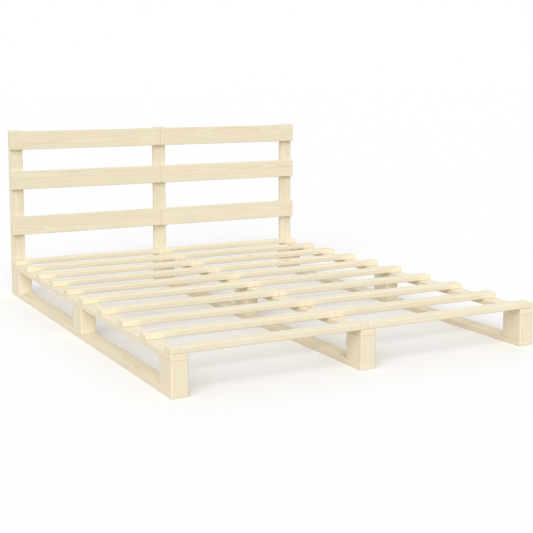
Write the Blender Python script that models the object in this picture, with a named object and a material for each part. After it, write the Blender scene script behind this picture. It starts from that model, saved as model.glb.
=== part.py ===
"""Pallet-style double bed in solid pine: three skids, split slats and a slatted headboard.

Metres, +Z up. The bed stands on the floor at z = 0. +Y runs from the foot end to the
head end, +X is on the right seen from the foot, and the origin is under its middle.
"""
import math

import bmesh
import bpy
from mathutils import Matrix, Vector

# Overall sizes
BASE_WIDTH = 1.650
BASE_LENGTH = 2.080
BED_HEIGHT = 0.850

# Clearance between touching pieces, and how far a cutter runs past a face
FIT_GAP = 0.0003
CUT_OVERRUN = 0.004

# Skids: a runner board, three blocks and a stringer board, all of one width
SKID_WIDTH = 0.068
RUNNER_THICKNESS = 0.024
BLOCK_LENGTH = 0.112
BLOCK_HEIGHT = 0.110
STRINGER_THICKNESS = 0.024

# Slats: each row is two half-length slats that butt over the centre stringer
SLAT_ROWS = 10
SLAT_WIDTH = 0.060
SLAT_THICKNESS = 0.024
SEAM_GAP = 0.001
# The rows stand wider apart over the foot half than over the head half
FOOT_SLAT_PITCH = 0.2375
FOOT_PITCHES = 4

# Headboard, flush with the base's sides: posts behind the base, boards on the front of the posts
POST_WIDTH = 0.068
POST_THICKNESS = 0.024
BOARD_HEIGHT = 0.094
BOARD_THICKNESS = 0.024
POST_MARGIN = 0.005
# How the free height between the slats and the posts' tops is shared out among the boards
UPPER_GAP_SHARE = 0.292
LOWER_GAP_SHARE = 0.371

# Planed edges are rounded over
EDGE_RADIUS = 0.003
EDGE_SEGMENTS = 2

# Connector bolts that hold the posts to the head blocks: wide flat heads with a hexagon socket
BOLT_RADIUS = 0.004
BOLT_HEAD_LIP = 0.005
BOLT_HEAD_THICKNESS = 0.003
BOLT_HEAD_CHAMFER = 0.0008
BOLT_SPREAD = 0.040
BOLT_PAST_NUT = 0.005
SOCKET_WALL = 0.0011
SOCKET_DEPTH = 0.005
ROUND_SIDES = 16
SOCKET_SIDES = 6

# Barrel nuts across the bolts, in holes from the blocks' inner faces
NUT_DEPTH = 0.045
NUT_WALL = 0.0027
NUT_LENGTH = 0.022

# Heights of the base's layers
BLOCK_BOTTOM = RUNNER_THICKNESS + FIT_GAP
BLOCK_TOP = BLOCK_BOTTOM + BLOCK_HEIGHT
STRINGER_BOTTOM = BLOCK_TOP + FIT_GAP
STRINGER_TOP = STRINGER_BOTTOM + STRINGER_THICKNESS
SLAT_BOTTOM = STRINGER_TOP + FIT_GAP
SLAT_TOP = SLAT_BOTTOM + SLAT_THICKNESS

# Places along the bed; the bolt heads are what stands out furthest at the back
OVERALL_LENGTH = BASE_LENGTH + FIT_GAP + POST_THICKNESS + FIT_GAP + BOLT_HEAD_THICKNESS
FOOT_Y = -OVERALL_LENGTH / 2
HEAD_Y = FOOT_Y + BASE_LENGTH
POST_FRONT = HEAD_Y + FIT_GAP
POST_BACK = POST_FRONT + POST_THICKNESS
BOLT_SEAT = POST_BACK + FIT_GAP
BLOCK_FRONTS = {
    "foot": FOOT_Y,
    "middle": FOOT_Y + (BASE_LENGTH - BLOCK_LENGTH) / 2,
    "head": HEAD_Y - BLOCK_LENGTH,
}

# Left edges of the skids and of the posts
SKID_LEFTS = {
    "left": -BASE_WIDTH / 2,
    "centre": -SKID_WIDTH / 2,
    "right": BASE_WIDTH / 2 - SKID_WIDTH,
}
POST_LEFTS = {
    "left": -BASE_WIDTH / 2,
    "centre": -POST_WIDTH / 2,
    "right": BASE_WIDTH / 2 - POST_WIDTH,
}

# Heights of the headboard boards' lower edges
BOARD_ROWS = 3
FREE_HEIGHT = BED_HEIGHT - POST_MARGIN - SLAT_TOP - BOARD_ROWS * BOARD_HEIGHT
UPPER_BOARD_BOTTOM = BED_HEIGHT - POST_MARGIN - BOARD_HEIGHT
MIDDLE_BOARD_BOTTOM = UPPER_BOARD_BOTTOM - UPPER_GAP_SHARE * FREE_HEIGHT - BOARD_HEIGHT
LOWER_BOARD_BOTTOM = MIDDLE_BOARD_BOTTOM - LOWER_GAP_SHARE * FREE_HEIGHT - BOARD_HEIGHT
BOARD_BOTTOMS = {
    "upper": UPPER_BOARD_BOTTOM,
    "middle": MIDDLE_BOARD_BOTTOM,
    "lower": LOWER_BOARD_BOTTOM,
}

# Outlines of the turned pieces, as distances along the axis and radii
BOLT_HEAD_RADIUS = BOLT_RADIUS + BOLT_HEAD_LIP
SOCKET_RADIUS = BOLT_RADIUS - SOCKET_WALL
NUT_RADIUS = BOLT_RADIUS + FIT_GAP + NUT_WALL
BOLT_LENGTH = FIT_GAP + POST_THICKNESS + FIT_GAP + NUT_DEPTH + NUT_RADIUS + BOLT_PAST_NUT
BOLT_OUTLINE = [
    (-BOLT_HEAD_THICKNESS, BOLT_HEAD_RADIUS - BOLT_HEAD_CHAMFER),
    (-BOLT_HEAD_THICKNESS + BOLT_HEAD_CHAMFER, BOLT_HEAD_RADIUS),
    (0, BOLT_HEAD_RADIUS),
    (0, BOLT_RADIUS),
    (BOLT_LENGTH, BOLT_RADIUS),
]
BOLT_HOLE = [
    (-CUT_OVERRUN, BOLT_RADIUS + FIT_GAP),
    (BOLT_LENGTH + FIT_GAP, BOLT_RADIUS + FIT_GAP),
]
SOCKET_HOLE = [
    (-BOLT_HEAD_THICKNESS - CUT_OVERRUN, SOCKET_RADIUS),
    (SOCKET_DEPTH - BOLT_HEAD_THICKNESS, SOCKET_RADIUS),
]
NUT_OUTLINE = [(-NUT_LENGTH / 2, NUT_RADIUS), (NUT_LENGTH / 2, NUT_RADIUS)]

# Ways that the turned pieces point
TOWARDS_FOOT = Vector((0, -1, 0))
TOWARDS_LEFT = Vector((-1, 0, 0))
TOWARDS_RIGHT = Vector((1, 0, 0))

# Colours are linear RGB
PINE = (0.83, 0.72, 0.50)
UPRIGHT_PINE = (0.78, 0.66, 0.44)
ZINC = (0.62, 0.63, 0.65)
WOOD_ROUGHNESS = 0.55
METAL_ROUGHNESS = 0.35


def clear_scene():
    """Removes what the scene holds."""
    for old in list(bpy.data.objects):
        bpy.data.objects.remove(old, do_unlink=True)


def make_material(name, color, roughness, metallic):
    """A plain Principled material."""
    material = bpy.data.materials.new(name)
    material.use_nodes = True
    shader = material.node_tree.nodes["Principled BSDF"]
    shader.inputs["Base Color"].default_value = (*color, 1.0)
    shader.inputs["Roughness"].default_value = roughness
    shader.inputs["Metallic"].default_value = metallic
    return material


def make_group(name):
    """An empty that holds the pieces of one sub-assembly."""
    group = bpy.data.objects.new(name, None)
    bpy.context.scene.collection.objects.link(group)
    return group


def link_mesh(name, bm, location, group):
    """Turns a bmesh into a linked object."""
    mesh = bpy.data.meshes.new(name)
    bmesh.ops.recalc_face_normals(bm, faces=bm.faces[:])
    bm.to_mesh(mesh)
    bm.free()
    piece = bpy.data.objects.new(name, mesh)
    piece.location = location
    piece.parent = group
    bpy.context.scene.collection.objects.link(piece)
    return piece


def turned_bmesh(outline, direction, sides):
    """A closed turned body about an axis through the origin."""
    bm = bmesh.new()
    turn = direction.to_track_quat("Z", "Y").to_matrix()
    rings = []
    for along, radius in outline:
        ring = []
        for side in range(sides):
            angle = 2 * math.pi * side / sides
            point = Vector((radius * math.cos(angle), radius * math.sin(angle), along))
            ring.append(bm.verts.new(turn @ point))
        rings.append(ring)
    for near, far in zip(rings, rings[1:]):
        for side in range(sides):
            after = (side + 1) % sides
            bm.faces.new((near[side], near[after], far[after], far[side]))
    bm.faces.new(rings[0])
    bm.faces.new(rings[-1])
    return bm


def cut_round(piece, label, outline, place, direction, group, sides=ROUND_SIDES):
    """Subtracts a turned shape from a piece, with a cutter that stays out of the render."""
    cutter = link_mesh(f"{piece.name}_{label}_cutter", turned_bmesh(outline, direction, sides), place, group)
    cutter.hide_render = True
    cutter.display_type = "WIRE"
    cut = piece.modifiers.new(label, "BOOLEAN")
    cut.operation = "DIFFERENCE"
    cut.solver = "EXACT"
    cut.object = cutter


def make_plank(name, low, high, color, group):
    """A straight piece of wood with rounded edges."""
    low = Vector(low)
    high = Vector(high)
    bm = bmesh.new()
    bmesh.ops.create_cube(bm, size=1, matrix=Matrix.Diagonal((*(high - low), 1)))
    bmesh.ops.bevel(
        bm, geom=bm.edges[:], offset=EDGE_RADIUS, segments=EDGE_SEGMENTS, profile=0.5, affect="EDGES"
    )
    plank = link_mesh(name, bm, (low + high) / 2, group)
    plank.data.materials.append(make_material(name + "_pine", color, WOOD_ROUGHNESS, 0))
    plank.data.shade_smooth()
    plank.data.set_sharp_from_angle(angle=math.radians(50))
    return plank


def make_turned(name, outline, place, direction, group):
    """A turned metal piece."""
    piece = link_mesh(name, turned_bmesh(outline, direction, ROUND_SIDES), place, group)
    piece.data.materials.append(make_material(name + "_steel", ZINC, METAL_ROUGHNESS, 1))
    piece.data.shade_smooth()
    piece.data.set_sharp_from_angle(angle=math.radians(40))
    return piece


def slat_front(row):
    """Y of the foot-side edge of a slat row, counted from 0 at the foot."""
    foot_run = FOOT_PITCHES * FOOT_SLAT_PITCH
    if row <= FOOT_PITCHES:
        return FOOT_Y + row * FOOT_SLAT_PITCH
    head_run = BASE_LENGTH - SLAT_WIDTH - foot_run
    head_pitches = SLAT_ROWS - 1 - FOOT_PITCHES
    return FOOT_Y + foot_run + (row - FOOT_PITCHES) * head_run / head_pitches


def half_spans(width):
    """Left and right ends of the two halves of a butted row."""
    return {
        "left": (-width / 2, -SEAM_GAP / 2),
        "right": (SEAM_GAP / 2, width / 2),
    }


def bolt_places(side):
    """X and z of the bolts of one post, in the middle of what it shares with its block."""
    skid_left = SKID_LEFTS[side]
    post_left = POST_LEFTS[side]
    left = max(skid_left, post_left)
    right = min(skid_left + SKID_WIDTH, post_left + POST_WIDTH)
    middle = BLOCK_BOTTOM + BLOCK_HEIGHT / 2
    return {
        "low": ((left + right) / 2, middle - BOLT_SPREAD / 2),
        "high": ((left + right) / 2, middle + BOLT_SPREAD / 2),
    }


def nut_way(side):
    """The way that a barrel nut goes in, and the x of the block's inner face that it enters."""
    if side == "right":
        return TOWARDS_RIGHT, SKID_LEFTS[side]
    return TOWARDS_LEFT, SKID_LEFTS[side] + SKID_WIDTH


def build_skid(side, group):
    """One skid, flush on both sides: a runner, three blocks and a stringer."""
    left = SKID_LEFTS[side]
    right = left + SKID_WIDTH
    make_plank(side + "_runner", (left, FOOT_Y, 0), (right, HEAD_Y, RUNNER_THICKNESS), PINE, group)
    blocks = {}
    for place, front in BLOCK_FRONTS.items():
        blocks[place] = make_plank(
            side + "_" + place + "_block",
            (left, front, BLOCK_BOTTOM),
            (right, front + BLOCK_LENGTH, BLOCK_TOP),
            UPRIGHT_PINE,
            group,
        )
    make_plank(
        side + "_stringer", (left, FOOT_Y, STRINGER_BOTTOM), (right, HEAD_Y, STRINGER_TOP), PINE, group
    )
    for level, (x, z) in bolt_places(side).items():
        cut_round(blocks["head"], level + "_bolt", BOLT_HOLE, (x, BOLT_SEAT, z), TOWARDS_FOOT, group)
        way, mouth = nut_way(side)
        hole = [
            (-abs(mouth - x) - CUT_OVERRUN, NUT_RADIUS + FIT_GAP),
            (NUT_LENGTH / 2 + FIT_GAP, NUT_RADIUS + FIT_GAP),
        ]
        cut_round(blocks["head"], level + "_nut", hole, (x, HEAD_Y - NUT_DEPTH, z), way, group)


def build_slats(group):
    """All half slats, counted from the foot."""
    for row in range(SLAT_ROWS):
        front = slat_front(row)
        for side, (left, right) in half_spans(BASE_WIDTH).items():
            make_plank(
                f"slat_{row + 1:02d}_{side}",
                (left, front, SLAT_BOTTOM),
                (right, front + SLAT_WIDTH, SLAT_TOP),
                PINE,
                group,
            )


def build_posts(group):
    """Three posts that stand on the floor behind the base, drilled for their bolts."""
    for side, left in POST_LEFTS.items():
        post = make_plank(
            side + "_post", (left, POST_FRONT, 0), (left + POST_WIDTH, POST_BACK, BED_HEIGHT), PINE, group
        )
        for level, (x, z) in bolt_places(side).items():
            cut_round(post, level + "_bolt", BOLT_HOLE, (x, BOLT_SEAT, z), TOWARDS_FOOT, group)


def build_boards(group):
    """Three rows of two headboard boards, their backs against the posts' front faces."""
    back = POST_FRONT - FIT_GAP
    for level, bottom in BOARD_BOTTOMS.items():
        for side, (left, right) in half_spans(BASE_WIDTH).items():
            make_plank(
                level + "_board_" + side,
                (left, back - BOARD_THICKNESS, bottom),
                (right, back, bottom + BOARD_HEIGHT),
                PINE,
                group,
            )


def build_bolts(group):
    """A connector bolt and its barrel nut at each place."""
    for side in POST_LEFTS:
        for level, (x, z) in bolt_places(side).items():
            seat = (x, BOLT_SEAT, z)
            bolt = make_turned(f"{side}_{level}_bolt", BOLT_OUTLINE, seat, TOWARDS_FOOT, group)
            cut_round(bolt, "socket", SOCKET_HOLE, seat, TOWARDS_FOOT, group, SOCKET_SIDES)
            way, _ = nut_way(side)
            nut = make_turned(
                f"{side}_{level}_barrel_nut", NUT_OUTLINE, (x, HEAD_Y - NUT_DEPTH, z), way, group
            )
            cut_round(nut, "thread", BOLT_HOLE, seat, TOWARDS_FOOT, group)


def main():
    clear_scene()
    base = make_group("bed_base")
    for side in SKID_LEFTS:
        build_skid(side, base)
    build_slats(base)
    headboard = make_group("headboard")
    build_posts(headboard)
    build_boards(headboard)
    build_bolts(headboard)


main()
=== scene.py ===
"""Looks of a pallet-style double bed in solid pine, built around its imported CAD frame.

Metres, +Z up, the bed on the floor at z = 0 with its headboard towards +Y.
"""
import math
import random

import bmesh
import bpy
from mathutils import Matrix, Vector


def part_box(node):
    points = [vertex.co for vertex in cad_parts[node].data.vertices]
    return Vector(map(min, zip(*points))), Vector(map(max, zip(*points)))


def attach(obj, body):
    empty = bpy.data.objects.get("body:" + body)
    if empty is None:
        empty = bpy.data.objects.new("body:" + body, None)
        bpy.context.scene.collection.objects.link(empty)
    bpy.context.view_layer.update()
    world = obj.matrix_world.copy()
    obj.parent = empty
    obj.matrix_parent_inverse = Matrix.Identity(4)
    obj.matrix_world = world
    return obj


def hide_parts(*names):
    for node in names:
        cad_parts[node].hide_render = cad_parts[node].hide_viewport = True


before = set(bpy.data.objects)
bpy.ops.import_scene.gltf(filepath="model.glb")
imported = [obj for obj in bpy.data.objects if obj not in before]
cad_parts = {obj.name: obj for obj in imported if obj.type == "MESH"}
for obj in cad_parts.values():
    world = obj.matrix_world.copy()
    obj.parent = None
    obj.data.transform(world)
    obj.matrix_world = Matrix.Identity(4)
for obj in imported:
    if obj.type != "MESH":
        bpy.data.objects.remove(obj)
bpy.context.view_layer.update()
bpy.ops.object.select_all(action="DESELECT")

# Axes and directions
X, Y, Z = 0, 1, 2
UP = Vector((0, 0, 1))
DOWN = Vector((0, 0, -1))
BACKWARD = Vector((0, 1, 0))
FOOTWARD = Vector((0, -1, 0))
RIGHTWARD = Vector((1, 0, 0))

# Words that the nodes' names are made of
SIDES = ("left", "centre", "right")
HALVES = ("left", "right")
PLACES = ("foot", "middle", "head")
LEVELS = ("upper", "middle", "lower")
BOLT_LEVELS = ("low", "high")
SLAT_ROWS = 10

# Radii of the four corners through a piece's thickness, and of the edges round both its faces.
# Where pieces are stacked the edges are only just eased
SLAT_CORNER = 0.0045
SLAT_ARRIS = 0.0034
BOARD_CORNER = 0.0042
BOARD_ARRIS = 0.0032
SKID_CORNER = 0.0050
SKID_ARRIS = 0.0020
BLOCK_CORNER = 0.0050
BLOCK_ARRIS = 0.0006
CORNER_STEPS = 4
ARRIS_STEPS = 3

# Two heights this close are in one plane, and a normal with this much of an axis points along it
SAME_PLANE = 1e-5
NEARLY_ALONG = 0.9

# Countersunk wood screws, 4 mm thick, with a cross recess: radii, then lengths
SCREW_HEAD = 0.0040
SCREW_SHANK = 0.0019
SCREW_SIDES = 16
SCREW_LENGTH = 0.040
SCREW_HEAD_DEPTH = 0.0024
SCREW_SINK = 0.0004
TAPER_SHARE = 0.2
TIP_SHARE = 0.15
RECESS_ARM = 0.0023
RECESS_WIDTH = 0.0009
RECESS_DEPTH = 0.0014

# Their holes: how much wider they are, and how far their cutters stand out of the wood
SINK_EASE = 0.0002
SINK_RISE = 0.001
SINK_SIDES = 20

# Where they are driven, from a slat's or a post's edges, and to both sides of a middle line
OUTER_SCREW_INSET = 0.045
SEAM_SCREW_INSET = 0.017
BLOCK_SCREW_SPREAD = 0.034
BOARD_SCREW_SPREAD = 0.023

# Connector bolts: a wide flat head with a hexagon socket, and a plain shank
BOLT_HEAD_DEPTH = 0.003
BOLT_HEAD_CHAMFER = 0.0007
BOLT_CHAMFER_STEPS = 3
BOLT_SHANK = 0.004
BOLT_TIP = 0.001
BOLT_TIP_SHARE = 0.75
BOLT_SIDES = 40
SOCKET_RADIUS = 0.0029
SOCKET_RISE = 0.002
SOCKET_REACH = 0.0068
SOCKET_SIDES = 6
BOLT_HOLE = 0.0043
BOLT_HOLE_REACH = 0.0576
BOLT_HOLE_SIDES = 24

# Barrel nuts, with a screwdriver slot in the end that shows
NUT_SIDES = 40
NUT_CHAMFER = 0.0006
NUT_CHAMFER_STEPS = 2
NUT_THREAD = 0.0042
NUT_SLOT = 0.0016
NUT_SLOT_DEPTH = 0.0018
NUT_CUT_SHARE = 1.2
NUT_HOLE = 0.0073
NUT_HOLE_SIDES = 32

# Where each kind of screw is driven: the middle of its hole's mouth, and the way out of the wood
SCREWS = {"slat_screws": [], "runner_screws": [], "stringer_screws": [], "board_screws": []}

# Colours of pine and of zinc plating
EARLYWOOD = "#F8F0D9"
PLANED_LATEWOOD = "#EFDFBB"
SAWN_LATEWOOD = "#F1E2C2"
RESIN = "#E0BE86"
KNOT_HEART = "#DDBC8E"
KNOT_RIM = "#C39A6A"
ZINC_DARK = "#B9BEC4"
ZINC_PALE = "#D6D8D6"

# Tone of the wood: by chance from board to board. The headboard's boards are painted slightly
# darker, and its posts darker still, as painted shade
TONE_RANGE = (0.985, 1.012)
HEADBOARD_PAINTED_SHADE = 0.94
POST_PAINTED_SHADE = 0.92

# Small changes of tone: from fibre to fibre and slowly along a board. End grain is painted a
# touch paler than the faces, as painted light that lifts the shade on the end faces
FIBRE_TONE = (0.972, 1.022)
CLOUD_TONE = (0.975, 1.015)
END_GRAIN_PAINTED_LIGHT = 1.012

# Gloss: bare pine is porous, so it mirrors less than its IOR alone would make it. Its dense
# latewood is a little smoother and its end grain rougher, and the plating is cloudy
PINE_IOR = 1.5
PINE_MIRRORING = 0.2
EARLYWOOD_ROUGHNESS = 0.60
LATEWOOD_ROUGHNESS = 0.50
END_GRAIN_ROUGHENING = 0.18
PLATING_ROUGHNESS = (0.26, 0.42)

# How boards were cut from their logs: how far the pith is from a board's middle, beyond its
# wide face and along that face, and how far along the log a board may start
PITH_DEPTH = (0.038, 0.075)
PITH_DRIFT = 0.035
LOG_START = 40

# Branches in a log: their pattern lies round the pith, as wide as this for each radian and as
# long as this for each metre, in cells of 1 / 3.1 m, and wavers by up to 4 mm
BRANCH_TURN = 0.055
BRANCH_LENGTH = 0.72
BRANCH_CELLS = 3.1
BRANCH_WAVER = (0.004, 0.004, 0)
KNOT_SMALL = 0.014
KNOT_LARGE = 0.034

# Places round a knot, in its own radius: where the wood ends and the knot begins, where its rim
# starts and is darkest, and where its halo starts and is full, with this share of resin
KNOT_OUTSIDE = 1.08
KNOT_INSIDE = 0.82
RIM_START = 0.55
RIM_FULL = 0.98
HALO_START = 4.5
HALO_FULL = 0.9
HALO_RESIN = 0.45

# Rings are 4.6 mm wide: real ones are 2 to 4 mm, too fine to show across a whole bed
RING_WIDTH = 0.0046
RING_RIPPLE = 0.0034
KNOT_SWELLING = 0.011
LOG_TAPER = 0.0055
PITH_WANDER = 0.034

# Latewood, in the ring's own width: where it starts, is darkest and fades, and how strong it is
# in weak and in strong years
SUMMER_START = 0.30
SUMMER_FULL = 0.88
WINTER_START = 0.90
WEAK_YEAR = 0.25
STRONG_YEAR = 0.95

# Patterns: cells to the metre or, for the years, to the ring, and how each is drawn out along
# the grain. Fibres are 3 mm wide and 0.2 m long, so that they show as faint streaks. Saw marks
# are 2 pi / 20 of a cell apart
KNOT_WAVER_SCALE = 95
PITH_SCALE = 1.7
RIPPLE_SCALE = 34
RIPPLE_DRAW = (1, 1, 0.10)
YEAR_SCALE = 0.9
FIBRE_SCALE = 330
FIBRE_DRAW = (1, 1, 0.014)
CLOUD_SCALE = 26
CLOUD_DRAW = (1, 1, 0.18)
SAW_MARK_SCALE = 48
SPANGLE_SCALE = 1200

# Noise rarely leaves this range
NOISE_LOW = 0.3
NOISE_HIGH = 0.7

# Heights in the surface, and how strongly they bend the light
LATEWOOD_RISE = 0.00005
FIBRE_RISE = 0.00022
SAW_MARK_RISE = 0.00006
PLATING_RISE = 0.00002
WOOD_BUMP = 0.8
PLATING_BUMP = 0.6

# Shading: angles past which an edge stays sharp, and how much the large faces count
WOOD_SHARP = math.radians(50)
STEEL_SHARP = math.radians(35)
FLAT_FACE_WEIGHT = 80

# Light: an even sky, a broad lamp in front on the left, and a weak one behind for the back
SKY_LEVEL = 0.58
LAMP_LEVEL = 1.97
LAMP_FROM = (-0.535, -0.695, 0.479)
LAMP_WIDTH = 60
FILL_LEVEL = 0.60
FILL_FROM = (0.50, 0.84, 0.20)
FILL_WIDTH = 90

# Floor: as the camera sees it, as it throws light back on the wood, and where it lies, just
# below the runners so that their faces don't coincide
FLOOR_SEEN = (0.98, 0.98, 0.98, 1)
FLOOR_LIFT = 0.08
FLOOR_BOUNCE = (0.52, 0.46, 0.39, 1)
FLOOR_WIDTH = 80
FLOOR_MIDDLE = (0, 10, -0.0004)
FLOOR_LIP = 0.0025
WHITE = (1, 1, 1, 1)

# Camera, in front of the bed on its left
CAMERA_PLACE = (-2.2649, -4.4569, 1.1303)
CAMERA_TURN = 28.115
CAMERA_DOWN = 6.870
CAMERA_LENS = 72.953
CAMERA_SENSOR = 36
CAMERA_SHIFT = -0.115

chance = random.Random(41)


# ---------------------------------------------------------------- modelling helpers


def only(piece):
    """Makes a piece the one that is selected and active."""
    bpy.ops.object.select_all(action="DESELECT")
    piece.select_set(True)
    bpy.context.view_layer.objects.active = piece


def stock(name, low, high):
    """Adds a block of stock at its size and place, ready to be shaped."""
    bpy.ops.mesh.primitive_cube_add(size=1, location=(low + high) / 2)
    piece = bpy.context.object
    piece.name = name
    piece.scale = high - low
    bpy.ops.object.transform_apply(location=True, rotation=True, scale=True)
    return piece


def rod(name, place, axis, radius, length, sides):
    """Adds a round bar that starts at a place and runs along an axis."""
    bpy.ops.mesh.primitive_cylinder_add(
        vertices=sides,
        radius=radius,
        depth=length,
        location=place + axis * length / 2,
        rotation=axis.to_track_quat("Z", "Y").to_euler(),
    )
    bar = bpy.context.object
    bar.name = name
    bpy.ops.object.transform_apply(location=True, rotation=True, scale=True)
    return bar


def pick_edges(piece, wanted):
    """In edit mode, selects the edges whose two ends pass a test."""
    bpy.context.tool_settings.mesh_select_mode = (False, True, False)
    mesh = bmesh.from_edit_mesh(piece.data)
    for part in (*mesh.verts, *mesh.edges, *mesh.faces):
        part.select = False
    for edge in mesh.edges:
        if wanted(edge.verts[0].co, edge.verts[1].co):
            edge.select_set(True)
    bmesh.update_edit_mesh(piece.data)


def pick_faces(piece, wanted):
    """In edit mode, selects the faces whose centre and normal pass a test."""
    bpy.context.tool_settings.mesh_select_mode = (False, False, True)
    mesh = bmesh.from_edit_mesh(piece.data)
    for part in (*mesh.verts, *mesh.edges, *mesh.faces):
        part.select = False
    for face in mesh.faces:
        if wanted(face.calc_center_median(), face.normal):
            face.select_set(True)
    bmesh.update_edit_mesh(piece.data)


def round_edges(piece, through, corner, arris):
    """Rounds the corners through a piece's thickness, then the edges round both its faces."""
    only(piece)
    bpy.ops.object.mode_set(mode="EDIT")
    pick_edges(piece, lambda a, b: abs(a[through] - b[through]) > corner)
    bpy.ops.mesh.bevel(offset=corner, segments=CORNER_STEPS, profile=0.5, affect="EDGES")
    reach = [v.co[through] for v in bmesh.from_edit_mesh(piece.data).verts]
    faces = (min(reach), max(reach))
    pick_edges(
        piece,
        lambda a, b: any(
            abs(a[through] - face) + abs(b[through] - face) < SAME_PLANE for face in faces
        ),
    )
    bpy.ops.mesh.bevel(offset=arris, segments=ARRIS_STEPS, profile=0.5, affect="EDGES")
    bpy.ops.object.mode_set(mode="OBJECT")


def apply_boolean(piece, tool, operation):
    """Applies another piece's shape to a piece, and removes the other."""
    change = piece.modifiers.new("change", "BOOLEAN")
    change.operation = operation
    change.solver = "EXACT"
    change.object = tool
    only(piece)
    bpy.ops.object.modifier_apply(modifier="change")
    drop(tool)


def cut_away(piece, cutters):
    """Takes the cutters' joined shape out of a piece."""
    only(cutters[0])
    for cutter in cutters:
        cutter.select_set(True)
    if len(cutters) > 1:
        bpy.ops.object.join()
    apply_boolean(piece, bpy.context.object, "DIFFERENCE")


def countersink(place, out):
    """A cutter for one countersunk screw hole whose mouth is at a place on a face."""
    slope = (SCREW_HEAD - SCREW_SHANK) / SCREW_HEAD_DEPTH
    depth = SCREW_HEAD_DEPTH + SCREW_SINK + SINK_RISE
    bpy.ops.mesh.primitive_cone_add(
        vertices=SINK_SIDES,
        radius1=SCREW_SHANK + SINK_EASE,
        radius2=SCREW_SHANK + SINK_EASE + slope * depth,
        depth=depth,
        location=place + out * (SINK_RISE - depth / 2),
        rotation=out.to_track_quat("Z", "Y").to_euler(),
    )
    cone = bpy.context.object
    bpy.ops.object.transform_apply(location=True, rotation=True, scale=True)
    return cone


def copy_mesh(piece, name, change):
    """A copy with its own mesh, moved or turned by a matrix that goes into the mesh."""
    twin = piece.copy()
    twin.data = piece.data.copy()
    twin.name = name
    twin.data.name = name
    twin.data.transform(change)
    bpy.context.scene.collection.objects.link(twin)
    return twin


def drop(piece):
    """Takes a spent cutter or pattern piece out of the scene."""
    bpy.data.objects.remove(piece, do_unlink=True)


def middle_of(node):
    """The middle of a node's box."""
    low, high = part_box(node)
    return (low + high) / 2


def even_shading(piece):
    """Smooth rounded edges next to flat faces that stay flat."""
    only(piece)
    bpy.ops.object.shade_smooth_by_angle(angle=WOOD_SHARP)
    weighted = piece.modifiers.new("weighted", "WEIGHTED_NORMAL")
    weighted.weight = FLAT_FACE_WEIGHT
    weighted.keep_sharp = True
    bpy.ops.object.modifier_apply(modifier="weighted")


# ---------------------------------------------------------------- materials


def colour(code):
    """Linear RGBA from an sRGB hex code."""
    parts = [int(code[i : i + 2], 16) / 255 for i in (1, 3, 5)]
    return (*[c / 12.92 if c <= 0.04045 else ((c + 0.055) / 1.055) ** 2.4 for c in parts], 1)


def add(tree, kind, inputs=None, **settings):
    """Adds a node with its settings, and links or values for its sockets.

    Sockets go by name, or by number where names repeat: Map Range takes its two ranges in 1 to
    4, and Mix its two colours in 6 and 7.
    """
    node = tree.nodes.new(kind)
    for setting, value in settings.items():
        setattr(node, setting, value)
    for socket, value in (inputs or {}).items():
        if isinstance(value, bpy.types.NodeSocket):
            tree.links.new(value, node.inputs[socket])
        else:
            node.inputs[socket].default_value = value
    return node


def new_material(name):
    """A material with its node tree and its Principled shader."""
    material = bpy.data.materials.new(name)
    material.use_nodes = True
    return material, material.node_tree, material.node_tree.nodes["Principled BSDF"]


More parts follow.
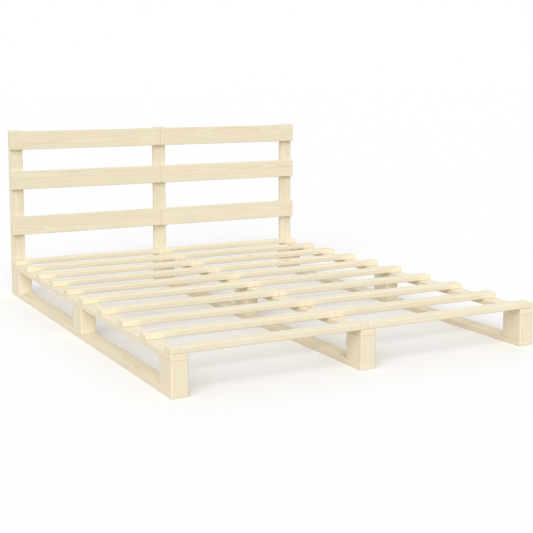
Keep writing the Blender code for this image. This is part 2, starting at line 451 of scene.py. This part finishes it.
def pine(name, late, sawn):
    """Scots pine, cut from a log: growth rings about the pith, fibres along it, and knots.

    Every piece carries "log", its place in its own log in metres with z along the pith, and
    "cut": how far a face is end grain, whether knots may show, and the board's tone, which
    holds painted shade on the headboard and posts.
    """
    material, tree, shader = new_material(name)
    log = add(tree, "ShaderNodeAttribute", attribute_name="log").outputs["Vector"]
    cut = add(tree, "ShaderNodeAttribute", attribute_name="cut").outputs["Vector"]
    cut = add(tree, "ShaderNodeSeparateXYZ", {0: cut})
    axes = add(tree, "ShaderNodeSeparateXYZ", {0: log})

    # Knots: one branch to about 0.45 m of log, 4 to 15 mm in radius, seen on the angle round
    # the pith
    angle = add(
        tree, "ShaderNodeMath", {0: axes.outputs["Y"], 1: axes.outputs["X"]}, operation="ARCTAN2"
    )
    turn = add(tree, "ShaderNodeMath", {0: angle.outputs[0], 1: BRANCH_TURN}, operation="MULTIPLY")
    along = add(
        tree, "ShaderNodeMath", {0: axes.outputs["Z"], 1: BRANCH_LENGTH}, operation="MULTIPLY"
    )
    bark = add(tree, "ShaderNodeCombineXYZ", {"X": turn.outputs[0], "Y": along.outputs[0]})
    waver = add(tree, "ShaderNodeTexNoise", {"Vector": log, "Scale": KNOT_WAVER_SCALE, "Detail": 2})
    waver = add(
        tree,
        "ShaderNodeVectorMath",
        {0: waver.outputs["Color"], 1: BRANCH_WAVER, 2: bark.outputs[0]},
        operation="MULTIPLY_ADD",
    )
    branch = add(
        tree,
        "ShaderNodeTexVoronoi",
        {"Vector": waver.outputs[0], "Scale": BRANCH_CELLS, "Randomness": 1},
        voronoi_dimensions="2D",
    )
    size = add(tree, "ShaderNodeSeparateColor", {0: branch.outputs["Color"]})
    size = add(
        tree, "ShaderNodeMapRange", {"Value": size.outputs[0], 3: KNOT_SMALL, 4: KNOT_LARGE}
    )
    # From here on, places are counted in the knot's own radius
    ratio = add(
        tree,
        "ShaderNodeMath",
        {0: branch.outputs["Distance"], 1: size.outputs[0]},
        operation="DIVIDE",
    )
    heart = add(
        tree,
        "ShaderNodeMapRange",
        {"Value": ratio.outputs[0], 1: KNOT_OUTSIDE, 2: KNOT_INSIDE, 3: 0, 4: 1},
        interpolation_type="SMOOTHSTEP",
    )
    halo = add(
        tree,
        "ShaderNodeMapRange",
        {"Value": ratio.outputs[0], 1: HALO_START, 2: HALO_FULL, 3: 0, 4: 1},
        interpolation_type="SMOOTHSTEP",
    )
    heart = add(
        tree, "ShaderNodeMath", {0: heart.outputs[0], 1: cut.outputs["Y"]}, operation="MULTIPLY"
    )
    halo = add(
        tree, "ShaderNodeMath", {0: halo.outputs[0], 1: cut.outputs["Y"]}, operation="MULTIPLY"
    )

    # Growth rings: the distance from a pith that wanders by some 10 mm, with a ripple, a taper
    # that draws flames on flat-sawn faces, and a swelling round each knot
    spine = add(tree, "ShaderNodeCombineXYZ", {"Z": axes.outputs["Z"]})
    spine = add(
        tree, "ShaderNodeTexNoise", {"Vector": spine.outputs[0], "Scale": PITH_SCALE, "Detail": 1}
    )
    spine = add(
        tree,
        "ShaderNodeVectorMath",
        {
            0: spine.outputs["Color"],
            1: (PITH_WANDER, PITH_WANDER, 0),
            2: (-PITH_WANDER / 2, -PITH_WANDER / 2, 0),
        },
        operation="MULTIPLY_ADD",
    )
    flat = add(
        tree,
        "ShaderNodeVectorMath",
        {0: log, 1: (1, 1, 0), 2: spine.outputs[0]},
        operation="MULTIPLY_ADD",
    )
    radius = add(tree, "ShaderNodeVectorMath", {0: flat.outputs[0]}, operation="LENGTH")
    calm = add(tree, "ShaderNodeVectorMath", {0: log, 1: RIPPLE_DRAW}, operation="MULTIPLY")
    ripple = add(
        tree, "ShaderNodeTexNoise", {"Vector": calm.outputs[0], "Scale": RIPPLE_SCALE, "Detail": 2}
    )
    radius = add(
        tree,
        "ShaderNodeMath",
        {0: ripple.outputs[0], 1: RING_RIPPLE, 2: radius.outputs["Value"]},
        operation="MULTIPLY_ADD",
    )
    radius = add(
        tree,
        "ShaderNodeMath",
        {0: axes.outputs["Z"], 1: LOG_TAPER, 2: radius.outputs[0]},
        operation="MULTIPLY_ADD",
    )
    radius = add(
        tree,
        "ShaderNodeMath",
        {0: halo.outputs[0], 1: KNOT_SWELLING, 2: radius.outputs[0]},
        operation="MULTIPLY_ADD",
    )
    # Latewood grows darker through each ring and ends sharply, in some years more than in others
    rings = add(tree, "ShaderNodeMath", {0: radius.outputs[0], 1: RING_WIDTH}, operation="DIVIDE")
    year = add(
        tree,
        "ShaderNodeTexNoise",
        {"W": rings.outputs[0], "Scale": YEAR_SCALE, "Detail": 1},
        noise_dimensions="1D",
    )
    season = add(tree, "ShaderNodeMath", {0: rings.outputs[0]}, operation="FRACT")
    summer = add(
        tree,
        "ShaderNodeMapRange",
        {"Value": season.outputs[0], 1: SUMMER_START, 2: SUMMER_FULL, 3: 0, 4: 1},
        interpolation_type="SMOOTHSTEP",
    )
    winter = add(
        tree,
        "ShaderNodeMapRange",
        {"Value": season.outputs[0], 1: 1.0, 2: WINTER_START, 3: 0, 4: 1},
        interpolation_type="SMOOTHSTEP",
    )
    latewood = add(
        tree, "ShaderNodeMath", {0: summer.outputs[0], 1: winter.outputs[0]}, operation="MULTIPLY"
    )
    strength = add(
        tree,
        "ShaderNodeMapRange",
        {"Value": year.outputs[0], 1: NOISE_LOW, 2: NOISE_HIGH, 3: WEAK_YEAR, 4: STRONG_YEAR},
    )
    latewood = add(
        tree,
        "ShaderNodeMath",
        {0: latewood.outputs[0], 1: strength.outputs[0]},
        operation="MULTIPLY",
    )

    # Fibres, and slow changes of tone 40 mm wide, beside those from board to board
    grainwise = add(tree, "ShaderNodeVectorMath", {0: log, 1: FIBRE_DRAW}, operation="MULTIPLY")
    fibres = add(
        tree,
        "ShaderNodeTexNoise",
        {"Vector": grainwise.outputs[0], "Scale": FIBRE_SCALE, "Detail": 4, "Roughness": 0.62},
    )
    slow = add(tree, "ShaderNodeVectorMath", {0: log, 1: CLOUD_DRAW}, operation="MULTIPLY")
    cloud = add(
        tree, "ShaderNodeTexNoise", {"Vector": slow.outputs[0], "Scale": CLOUD_SCALE, "Detail": 2}
    )

    wood = add(
        tree,
        "ShaderNodeMix",
        {0: latewood.outputs[0], 6: colour(EARLYWOOD), 7: colour(late)},
        data_type="RGBA",
    )
    low, high = FIBRE_TONE
    streak = add(
        tree,
        "ShaderNodeMapRange",
        {"Value": fibres.outputs[0], 1: NOISE_LOW, 2: NOISE_HIGH, 3: low, 4: high},
    )
    low, high = CLOUD_TONE
    tone = add(
        tree,
        "ShaderNodeMapRange",
        {"Value": cloud.outputs[0], 1: NOISE_LOW, 2: NOISE_HIGH, 3: low, 4: high},
    )
    tone = add(
        tree, "ShaderNodeMath", {0: tone.outputs[0], 1: streak.outputs[0]}, operation="MULTIPLY"
    )
    # The board's tone, with the painted shade of the headboard and posts
    tone = add(
        tree, "ShaderNodeMath", {0: tone.outputs[0], 1: cut.outputs["Z"]}, operation="MULTIPLY"
    )
    # End grain is painted a little paler: painted light on the end faces
    end = add(tree, "ShaderNodeMapRange", {"Value": cut.outputs["X"], 3: 1.0, 4: END_GRAIN_PAINTED_LIGHT})
    tone = add(
        tree, "ShaderNodeMath", {0: tone.outputs[0], 1: end.outputs[0]}, operation="MULTIPLY"
    )
    wood = add(
        tree,
        "ShaderNodeVectorMath",
        {0: wood.outputs[2], "Scale": tone.outputs[0]},
        operation="SCALE",
    )
    # Resin deepens the wood round a knot, and the knot is tan with a thin darker rim
    amber = add(tree, "ShaderNodeMath", {0: halo.outputs[0], 1: HALO_RESIN}, operation="MULTIPLY")
    wood = add(
        tree,
        "ShaderNodeMix",
        {0: amber.outputs[0], 6: wood.outputs[0], 7: colour(RESIN)},
        data_type="RGBA",
    )
    core = add(
        tree,
        "ShaderNodeMapRange",
        {"Value": ratio.outputs[0], 1: RIM_START, 2: RIM_FULL, 3: 0, 4: 1},
        interpolation_type="SMOOTHSTEP",
    )
    knot = add(
        tree,
        "ShaderNodeMix",
        {0: core.outputs[0], 6: colour(KNOT_HEART), 7: colour(KNOT_RIM)},
        data_type="RGBA",
    )
    wood = add(
        tree,
        "ShaderNodeMix",
        {0: heart.outputs[0], 6: wood.outputs[2], 7: knot.outputs[2]},
        data_type="RGBA",
    )
    tree.links.new(wood.outputs[2], shader.inputs["Base Color"])

    # Untreated planed pine is matt
    rough = add(
        tree,
        "ShaderNodeMapRange",
        {"Value": latewood.outputs[0], 3: EARLYWOOD_ROUGHNESS, 4: LATEWOOD_ROUGHNESS},
    )
    rough = add(
        tree,
        "ShaderNodeMath",
        {0: cut.outputs["X"], 1: END_GRAIN_ROUGHENING, 2: rough.outputs[0]},
        operation="MULTIPLY_ADD",
    )
    tree.links.new(rough.outputs[0], shader.inputs["Roughness"])
    shader.inputs["IOR"].default_value = PINE_IOR
    shader.inputs["Specular IOR Level"].default_value = PINE_MIRRORING

    # Latewood stands proud of the softer earlywood, and a saw leaves a mark every 6.5 mm
    height = add(
        tree, "ShaderNodeMath", {0: latewood.outputs[0], 1: LATEWOOD_RISE}, operation="MULTIPLY"
    )
    height = add(
        tree,
        "ShaderNodeMath",
        {0: fibres.outputs[0], 1: FIBRE_RISE, 2: height.outputs[0]},
        operation="MULTIPLY_ADD",
    )
    if sawn:
        marks = add(
            tree,
            "ShaderNodeTexWave",
            {"Vector": log, "Scale": SAW_MARK_SCALE, "Distortion": 1.2, "Detail": 1},
            bands_direction="Z",
        )
        height = add(
            tree,
            "ShaderNodeMath",
            {0: marks.outputs[1], 1: SAW_MARK_RISE, 2: height.outputs[0]},
            operation="MULTIPLY_ADD",
        )
    bump = add(
        tree,
        "ShaderNodeBump",
        {"Height": height.outputs[0], "Strength": WOOD_BUMP, "Distance": 1.0},
    )
    tree.links.new(bump.outputs[0], shader.inputs["Normal"])
    return material


def zinc_steel():
    """Bright zinc-plated steel: pale blue-grey, half gloss, with a cloudy plating."""
    material, tree, shader = new_material("zinc_plated_steel")
    place = add(tree, "ShaderNodeTexCoord").outputs["Object"]
    # Crystals of the plating, 0.8 mm across
    spangle = add(
        tree, "ShaderNodeTexNoise", {"Vector": place, "Scale": SPANGLE_SCALE, "Detail": 2}
    )
    tint = add(
        tree,
        "ShaderNodeMix",
        {0: spangle.outputs[0], 6: colour(ZINC_DARK), 7: colour(ZINC_PALE)},
        data_type="RGBA",
    )
    tree.links.new(tint.outputs[2], shader.inputs["Base Color"])
    low, high = PLATING_ROUGHNESS
    gloss = add(
        tree,
        "ShaderNodeMapRange",
        {"Value": spangle.outputs[0], 1: NOISE_LOW, 2: NOISE_HIGH, 3: low, 4: high},
    )
    tree.links.new(gloss.outputs[0], shader.inputs["Roughness"])
    shader.inputs["Metallic"].default_value = 1
    pits = add(
        tree, "ShaderNodeMath", {0: spangle.outputs[0], 1: PLATING_RISE}, operation="MULTIPLY"
    )
    bump = add(
        tree,
        "ShaderNodeBump",
        {"Height": pits.outputs[0], "Strength": PLATING_BUMP, "Distance": 1.0},
    )
    tree.links.new(bump.outputs[0], shader.inputs["Normal"])
    return material


def rays_that_show(tree):
    """Light Path, and how far a ray shows a thing: straight, mirrored or through glass."""
    ray = add(tree, "ShaderNodeLightPath")
    shown = ray.outputs["Is Camera Ray"]
    for kind in ("Is Glossy Ray", "Is Transmission Ray"):
        either = add(
            tree, "ShaderNodeMath", {0: shown, 1: ray.outputs[kind]}, operation="MAXIMUM"
        )
        shown = either.outputs[0]
    return ray, shown


def white_floor():
    """Matt white studio floor that shows as plain white and keeps the bed's shadow."""
    material, tree, shader = new_material("white_studio_floor")
    tree.nodes.remove(shader)
    ray, shown = rays_that_show(tree)
    seen = add(tree, "ShaderNodeBsdfDiffuse", {"Color": FLOOR_SEEN})
    lift = add(tree, "ShaderNodeEmission", {"Color": WHITE, "Strength": FLOOR_LIFT})
    seen = add(tree, "ShaderNodeAddShader", {0: seen.outputs[0], 1: lift.outputs[0]})
    bounced = add(tree, "ShaderNodeBsdfDiffuse", {"Color": FLOOR_BOUNCE})
    pale = add(
        tree, "ShaderNodeMixShader", {0: shown, 1: bounced.outputs[0], 2: seen.outputs[0]}
    )
    # From below the floor lets the camera see the bed's underside
    under = add(tree, "ShaderNodeNewGeometry")
    below = add(
        tree,
        "ShaderNodeMath",
        {0: under.outputs["Backfacing"], 1: ray.outputs["Is Camera Ray"]},
        operation="MULTIPLY",
    )
    clear = add(tree, "ShaderNodeBsdfTransparent")
    both = add(
        tree,
        "ShaderNodeMixShader",
        {0: below.outputs[0], 1: pale.outputs[0], 2: clear.outputs[0]},
    )
    tree.links.new(both.outputs[0], tree.nodes["Material Output"].inputs["Surface"])
    return material


PLANED = pine("planed_pine", PLANED_LATEWOOD, sawn=False)
SAWN = pine("sawn_pine_block", SAWN_LATEWOOD, sawn=True)
STEEL = zinc_steel()


# ---------------------------------------------------------------- pieces of wood


def no_knots(normal):
    """Clear wood, as on the faces that the photo shows."""
    return 0.0


def knots_on_flats(normal):
    """Knots on faces that look up or down."""
    return normal.z ** 2


def knots_at_back(normal):
    """Knots on faces that look back."""
    return max(0.0, normal.y) ** 2


def knots_below(normal):
    """Knots on faces that look down."""
    return max(0.0, -normal.z) ** 2


def mark_grain(piece, grain, knots, tone):
    """Stores a piece's place in its log, and how each face was cut."""
    mesh = piece.data
    corners = [v.co for v in mesh.vertices]
    low = Vector([min(c[i] for c in corners) for i in range(3)])
    high = Vector([max(c[i] for c in corners) for i in range(3)])
    middle = (low + high) / 2
    across, up = [i for i in (X, Y, Z) if i != grain]
    # The pith lies beside the wider face
    wide, thin = (across, up) if (high - low)[across] >= (high - low)[up] else (up, across)
    depth = chance.uniform(*PITH_DEPTH) * chance.choice((-1, 1))
    drift = chance.uniform(-PITH_DRIFT, PITH_DRIFT)
    start = chance.uniform(0, LOG_START)
    places = mesh.attributes.new("log", "FLOAT_VECTOR", "POINT")
    for vertex in mesh.vertices:
        at = vertex.co - middle
        places.data[vertex.index].vector = (at[wide] + drift, at[thin] + depth, at[grain] + start)
    cuts = mesh.attributes.new("cut", "FLOAT_VECTOR", "FACE")
    for face in mesh.polygons:
        end_grain = abs(face.normal[grain]) ** 2
        cuts.data[face.index].vector = (end_grain, knots(face.normal), tone)


def fit_wood(piece, node, grain, material, knots=no_knots, tone=1.0):
    """Finishes a piece of wood and puts it in its node's place."""
    piece.name = node + "_wood"
    piece.data.name = piece.name
    even_shading(piece)
    mark_grain(piece, grain, knots, tone * chance.uniform(*TONE_RANGE))
    piece.data.materials.clear()
    piece.data.materials.append(material)
    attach(piece, "root")
    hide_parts(node)


def cut_slats():
    """One half slat, with a countersunk hole over each skid, and a copy for every half row."""
    low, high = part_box("slat_01_left")
    slat = stock("half_slat", low, high)
    round_edges(slat, Z, SLAT_CORNER, SLAT_ARRIS)
    across = (low.y + high.y) / 2
    holes = [
        Vector((low.x + OUTER_SCREW_INSET, across, high.z)),
        Vector((high.x - SEAM_SCREW_INSET, across, high.z)),
    ]
    cut_away(slat, [countersink(hole, UP) for hole in holes])
    for row in range(1, SLAT_ROWS + 1):
        for side in HALVES:
            node = f"slat_{row:02d}_{side}"
            # A right half is a left half turned end for end
            turn = Matrix.Rotation(math.pi if side == "right" else 0, 4, "Z")
            to_origin = Matrix.Translation(-(low + high) / 2)
            move = Matrix.Translation(middle_of(node)) @ turn @ to_origin
            knots = knots_below if row == 1 or side == "left" else knots_on_flats
            fit_wood(copy_mesh(slat, node, move), node, X, PLANED, knots)
            for hole in holes:
                SCREWS["slat_screws"].append((move @ hole, UP))
    drop(slat)


def cut_skid_boards():
    """A runner and a stringer, drilled over and under the blocks, for each skid."""
    for kind, out in (("runner", DOWN), ("stringer", UP)):
        low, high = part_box("left_" + kind)
        board = stock(kind, low, high)
        round_edges(board, Z, SKID_CORNER, SKID_ARRIS)
        face = high.z if out.z > 0 else low.z
        holes = []
        for place in PLACES:
            middle = middle_of("left_" + place + "_block")
            for step in (-BLOCK_SCREW_SPREAD, BLOCK_SCREW_SPREAD):
                holes.append(Vector((middle.x, middle.y + step, face)))
        cut_away(board, [countersink(hole, out) for hole in holes])
        for side in SIDES:
            node = side + "_" + kind
            move = Matrix.Translation(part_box(node)[0] - low)
            knots = no_knots if side == "left" else knots_on_flats
            fit_wood(copy_mesh(board, node, move), node, Y, PLANED, knots)
            for hole in holes:
                SCREWS[kind + "_screws"].append((move @ hole, out))
        drop(board)


def cut_blocks():
    """Upright blocks: plain ones, and head blocks drilled for their bolts and barrel nuts."""
    low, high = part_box("left_foot_block")
    block = stock("block", low, high)
    round_edges(block, Z, BLOCK_CORNER, BLOCK_ARRIS)
    for side in SIDES:
        for place in PLACES:
            node = side + "_" + place + "_block"
            piece = copy_mesh(block, node, Matrix.Translation(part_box(node)[0] - low))
            if place == "head":
                drill_head_block(piece, side)
            fit_wood(piece, node, Z, SAWN)
    drop(block)


def bolt_hole(side, level, face, depth):
    """A cutter for one bolt hole that runs from a back face towards the foot."""
    bolt = middle_of(f"{side}_{level}_bolt")
    start = Vector((bolt.x, face + BOLT_HOLE, bolt.z))
    return rod("bolt_hole", start, FOOTWARD, BOLT_HOLE, depth + BOLT_HOLE, BOLT_HOLE_SIDES)


def drill_head_block(piece, side):
    """Two bolt holes from behind, and two barrel nut holes from the inner face."""
    low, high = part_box(side + "_head_block")
    face, way = (low.x, 1) if side == "right" else (high.x, -1)
    holes = []
    for level in BOLT_LEVELS:
        holes.append(bolt_hole(side, level, high.y, BOLT_HOLE_REACH))
        nut = f"{side}_{level}_barrel_nut"
        nut_low, nut_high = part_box(nut)
        reach = abs(face - (nut_high.x if way > 0 else nut_low.x)) + BOLT_HOLE
        middle = middle_of(nut)
        mouth = Vector((face - way * BOLT_HOLE, middle.y, middle.z))
        holes.append(rod("nut_hole", mouth, RIGHTWARD * way, NUT_HOLE, reach, NUT_HOLE_SIDES))
    cut_away(piece, holes)


def cut_posts():
    """Posts drilled from behind, for the bolts below and for the boards' screws above."""
    for side in SIDES:
        node = side + "_post"
        low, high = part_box(node)
        post = stock(node + "_board", low, high)
        round_edges(post, Y, BOARD_CORNER, BOARD_ARRIS)
        thickness = high.y - low.y + BOLT_HOLE
        cutters = [bolt_hole(side, level, high.y, thickness) for level in BOLT_LEVELS]
        holes = board_screws(side, low, high)
        cut_away(post, cutters + [countersink(hole, BACKWARD) for hole in holes])
        # The posts' tone is painted shade: they are painted darker than the other wood
        fit_wood(post, node, Z, PLANED, knots_at_back, POST_PAINTED_SHADE)
        SCREWS["board_screws"] += [(hole, BACKWARD) for hole in holes]


def board_screws(side, low, high):
    """Where a post's screws enter: two behind each board end, three rows high."""
    columns = [(low.x + high.x) / 2]
    if side == "centre":
        columns = [low.x + SEAM_SCREW_INSET, high.x - SEAM_SCREW_INSET]
    holes = []
    for level in LEVELS:
        height = middle_of(level + "_board_left").z
        for x in columns:
            for step in (-BOARD_SCREW_SPREAD, BOARD_SCREW_SPREAD):
                holes.append(Vector((x, high.y, height + step)))
    return holes


def cut_headboard():
    """Six bare-faced boards across the posts."""
    low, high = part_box("upper_board_left")
    board = stock("headboard_board", low, high)
    round_edges(board, Y, BOARD_CORNER, BOARD_ARRIS)
    for level in LEVELS:
        for side in HALVES:
            node = level + "_board_" + side
            piece = copy_mesh(board, node, Matrix.Translation(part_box(node)[0] - low))
            # The boards' tone carries painted shade: they are painted slightly darker than the
            # other wood
            fit_wood(piece, node, X, PLANED, tone=HEADBOARD_PAINTED_SHADE)
    drop(board)


# ---------------------------------------------------------------- hardware


def fit_steel(piece):
    """Finishes a piece of zinc-plated steel."""
    only(piece)
    bpy.ops.object.shade_smooth_by_angle(angle=STEEL_SHARP)
    piece.data.materials.clear()
    piece.data.materials.append(STEEL)
    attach(piece, "root")


def make_screw():
    """A countersunk wood screw that points down, its head's face at the origin."""
    bpy.ops.mesh.primitive_circle_add(vertices=SCREW_SIDES, radius=SCREW_HEAD, fill_type="NGON")
    screw = bpy.context.object
    screw.name = "wood_screw"
    bpy.ops.object.mode_set(mode="EDIT")
    for depth, shrink in (
        (SCREW_HEAD_DEPTH, SCREW_SHANK / SCREW_HEAD),
        (SCREW_LENGTH * (1 - TAPER_SHARE), 1.0),
        (SCREW_LENGTH * TAPER_SHARE, TIP_SHARE),
    ):
        bpy.ops.mesh.extrude_region_move(TRANSFORM_OT_translate={"value": (0, 0, -depth)})
        bpy.ops.transform.resize(value=(shrink, shrink, 1))
    bpy.ops.mesh.select_all(action="SELECT")
    bpy.ops.mesh.normals_make_consistent(inside=False)
    bpy.ops.object.mode_set(mode="OBJECT")
    long, short = RECESS_ARM, RECESS_WIDTH / 2
    recess, crossbar = [
        stock("recess", Vector((-x, -y, -RECESS_DEPTH)), Vector((x, y, RECESS_DEPTH)))
        for x, y in ((long, short), (short, long))
    ]
    apply_boolean(recess, crossbar, "UNION")
    cut_away(screw, [recess])
    return screw


def drive_screws():
    """Sets a screw in every hole, turned as the driver left it, one object for each kind."""
    screw = make_screw()
    for kind, holes in SCREWS.items():
        copies = []
        for number, (place, out) in enumerate(holes):
            turn = out.to_track_quat("Z", "Y").to_matrix().to_4x4()
            spin = Matrix.Rotation(chance.uniform(0, math.pi / 2), 4, "Z")
            seat = Matrix.Translation(place - out * SCREW_SINK)
            copies.append(copy_mesh(screw, f"{kind}_{number}", seat @ turn @ spin))
        only(copies[0])
        for piece in copies:
            piece.select_set(True)
        bpy.ops.object.join()
        copies[0].name = kind
        fit_steel(copies[0])
    drop(screw)


def make_bolt(node):
    """A connector bolt: a chamfered head, a plain shank with a short tip, and its socket."""
    low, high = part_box(node)
    middle = (low + high) / 2
    radius = (high.x - low.x) / 2
    seat = Vector((middle.x, high.y, middle.z))
    bolt = rod(node + "_steel", seat, FOOTWARD, radius, BOLT_HEAD_DEPTH, BOLT_SIDES)
    bpy.ops.object.mode_set(mode="EDIT")
    pick_faces(bolt, lambda at, normal: normal.y > NEARLY_ALONG)
    bpy.ops.mesh.bevel(
        offset=BOLT_HEAD_CHAMFER, segments=BOLT_CHAMFER_STEPS, profile=0.5, affect="EDGES"
    )
    pick_faces(bolt, lambda at, normal: normal.y < -NEARLY_ALONG)
    bpy.ops.mesh.inset(thickness=radius - BOLT_SHANK, depth=0)
    shank = high.y - low.y - (BOLT_HEAD_DEPTH + BOLT_TIP)
    bpy.ops.mesh.extrude_region_move(TRANSFORM_OT_translate={"value": (0, -shank, 0)})
    bpy.ops.mesh.extrude_region_move(TRANSFORM_OT_translate={"value": (0, -BOLT_TIP, 0)})
    bpy.ops.transform.resize(value=(BOLT_TIP_SHARE, 1, BOLT_TIP_SHARE))
    bpy.ops.object.mode_set(mode="OBJECT")
    mouth = seat + BACKWARD * SOCKET_RISE
    socket = rod("socket", mouth, FOOTWARD, SOCKET_RADIUS, SOCKET_REACH, SOCKET_SIDES)
    cut_away(bolt, [socket])
    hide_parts(node)
    fit_steel(bolt)


def make_barrel_nut(node, slot_face):
    """A barrel nut with its cross hole, and a slot in the end at a face's x."""
    low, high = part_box(node)
    middle = (low + high) / 2
    radius = (high.z - low.z) / 2
    start = Vector((low.x, middle.y, middle.z))
    nut = rod(node + "_steel", start, RIGHTWARD, radius, high.x - low.x, NUT_SIDES)
    bpy.ops.object.mode_set(mode="EDIT")
    pick_faces(nut, lambda at, normal: abs(normal.x) > NEARLY_ALONG)
    bpy.ops.mesh.bevel(offset=NUT_CHAMFER, segments=NUT_CHAMFER_STEPS, profile=0.5, affect="EDGES")
    bpy.ops.object.mode_set(mode="OBJECT")
    reach = radius * NUT_CUT_SHARE
    centre = Vector((slot_face, middle.y, middle.z))
    half = Vector((NUT_SLOT_DEPTH, reach, NUT_SLOT / 2))
    slot = stock("slot", centre - half, centre + half)
    mouth = middle + BACKWARD * reach
    thread = rod("thread", mouth, FOOTWARD, NUT_THREAD, reach * 2, BOLT_HOLE_SIDES)
    cut_away(nut, [slot, thread])
    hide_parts(node)
    fit_steel(nut)


def make_connectors():
    """The bolts, then the barrel nuts that they screw into, in from the blocks' inner faces."""
    places = [(side, level) for side in SIDES for level in BOLT_LEVELS]
    for side, level in places:
        make_bolt(f"{side}_{level}_bolt")
    for side, level in places:
        node = f"{side}_{level}_barrel_nut"
        low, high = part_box(node)
        make_barrel_nut(node, low.x if side == "right" else high.x)


# ---------------------------------------------------------------- stage, light and camera


def hang_lamp(name, level, way, width):
    """A broad, soft lamp far off in one direction."""
    lamp = bpy.data.lights.new(name, "SUN")
    lamp.energy = level
    lamp.angle = math.radians(width)
    holder = bpy.data.objects.new(name, lamp)
    holder.rotation_euler = Vector(way).to_track_quat("Z", "Y").to_euler()
    bpy.context.scene.collection.objects.link(holder)


def lay_floor():
    """A floor that is open right under each skid and its post, so that they get light below."""
    bpy.ops.mesh.primitive_plane_add(size=FLOOR_WIDTH, location=FLOOR_MIDDLE)
    floor = bpy.context.object
    floor.name = "studio_floor"
    bpy.ops.object.transform_apply(location=True, rotation=True, scale=True)
    openings = []
    for side in SIDES:
        low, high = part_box(side + "_runner")
        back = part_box(side + "_post")[1].y
        openings.append(
            (low.x + FLOOR_LIP, high.x - FLOOR_LIP, low.y + FLOOR_LIP, back - FLOOR_LIP)
        )
    bpy.ops.object.mode_set(mode="EDIT")
    for line, bounds in ((RIGHTWARD, (0, 1)), (BACKWARD, (2, 3))):
        for place in sorted({opening[bound] for opening in openings for bound in bounds}):
            bpy.ops.mesh.select_all(action="SELECT")
            bpy.ops.mesh.bisect(plane_co=line * place, plane_no=line)
    pick_faces(
        floor,
        lambda at, normal: any(x0 < at.x < x1 and y0 < at.y < y1 for x0, x1, y0, y1 in openings),
    )
    bpy.ops.mesh.delete(type="FACE")
    bpy.ops.object.mode_set(mode="OBJECT")
    return floor


def build_stage():
    """A white floor and plain soft light."""
    floor = lay_floor()
    floor.data.materials.append(white_floor())

    world = bpy.data.worlds.new("studio")
    bpy.context.scene.world = world
    world.use_nodes = True
    tree = world.node_tree
    tree.nodes.clear()
    _, shown = rays_that_show(tree)
    level = add(tree, "ShaderNodeMapRange", {"Value": shown, 3: SKY_LEVEL, 4: 1.0})
    sky = add(tree, "ShaderNodeBackground", {"Color": WHITE, "Strength": level.outputs[0]})
    add(tree, "ShaderNodeOutputWorld", {"Surface": sky.outputs[0]})
    hang_lamp("front_lamp", LAMP_LEVEL, LAMP_FROM, LAMP_WIDTH)
    hang_lamp("back_lamp", FILL_LEVEL, FILL_FROM, FILL_WIDTH)


def build_camera():
    """Stands 1.1 m above the floor and looks a little down."""
    lens = bpy.data.cameras.new("camera")
    lens.lens = CAMERA_LENS
    lens.sensor_width = CAMERA_SENSOR
    lens.shift_y = CAMERA_SHIFT
    camera = bpy.data.objects.new("camera", lens)
    camera.location = CAMERA_PLACE
    camera.rotation_euler = (math.radians(90 - CAMERA_DOWN), 0, math.radians(-CAMERA_TURN))
    bpy.context.scene.collection.objects.link(camera)
    bpy.context.scene.camera = camera


cut_slats()
cut_skid_boards()
cut_blocks()
cut_posts()
cut_headboard()
drive_screws()
make_connectors()
build_stage()
build_camera()

bpy.context.scene.view_settings.view_transform = "Standard"
